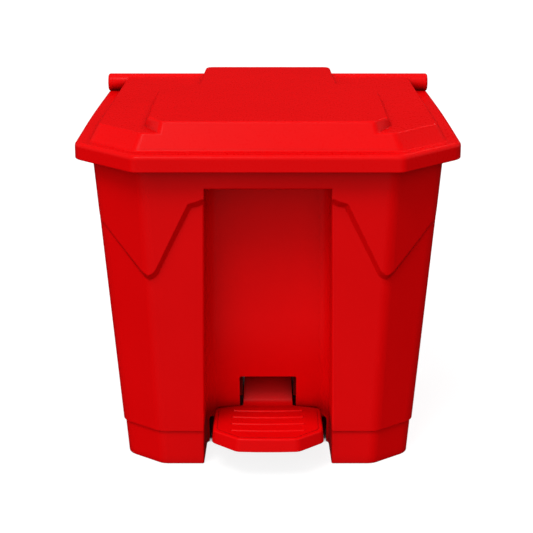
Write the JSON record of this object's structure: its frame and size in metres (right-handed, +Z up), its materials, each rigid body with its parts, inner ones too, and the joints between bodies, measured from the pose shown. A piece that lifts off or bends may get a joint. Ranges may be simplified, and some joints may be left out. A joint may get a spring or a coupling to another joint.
{
  "type": "pedal bin",
  "caption": "Foot-operated waste bin with a hinged lid, a front pedal, an under-floor lever and a rear push rod that lifts the lid.",
  "frame": {"origin": "centre of the bin's bounding box at floor level", "axes": "+X across the bin (its widest direction), -Y out of the front where the pedal is, +Z up"},
  "size_m": [0.41, 0.4, 0.388],
  "materials": {
    "red_plastic": "satin",
    "black_nylon": "matte",
    "steel_rod": "satin",
    "zinc_plate": "matte",
    "fasteners": "satin"
  },
  "bodies": {
    "bin": {"bin_body": "red_plastic", "base_frame": "red_plastic", "base_frame_screws": "fasteners", "rod_guide_upper": "black_nylon", "rod_guide_lower": "black_nylon", "hinge_pin_right": "steel_rod", "hinge_pin_left": "steel_rod", "pedal_axle": "steel_rod", "axle_clip_right": "fasteners", "axle_clip_left": "fasteners"},
    "lid": {"lid": "red_plastic", "hinge_end_cap_right": "red_plastic", "hinge_end_cap_left": "red_plastic", "rod_bracket": "zinc_plate", "rod_bracket_screws": "fasteners"},
    "pedal": {"pedal": "red_plastic", "lever_arm": "zinc_plate", "pedal_bolts": "fasteners", "pedal_nuts": "fasteners", "axle_bush_right": "black_nylon", "axle_bush_left": "black_nylon"},
    "push_rod": {"push_rod": "steel_rod", "rod_end_upper": "black_nylon", "rod_end_lower": "black_nylon", "upper_rod_pin": "steel_rod", "lower_rod_pin": "steel_rod", "upper_pin_clips": "fasteners", "lower_pin_clips": "fasteners"}
  },
  "joints": [
    {"name": "lid_hinge", "type": "hinge", "parent": "bin", "child": "lid", "pos_m": [0, 0.189, 0.369], "axis": [-1, 0, 0], "range_deg": [0, 60]},
    {"name": "pedal_pivot", "type": "hinge", "parent": "bin", "child": "pedal", "pos_m": [0, -0.02, 0.0634], "axis": [1, 0, 0], "range_deg": [0, 9]},
    {"name": "rod_lift", "type": "slide", "parent": "bin", "child": "push_rod", "axis": [0, 0, 1], "range_m": [0, 0.0289]}
  ],
  "couplings": [
    {"joint": "pedal_pivot", "follows": "lid_hinge", "ratio": 0.1499},
    {"joint": "rod_lift", "follows": "lid_hinge", "m_per_rad": 0.02756}
  ]
}
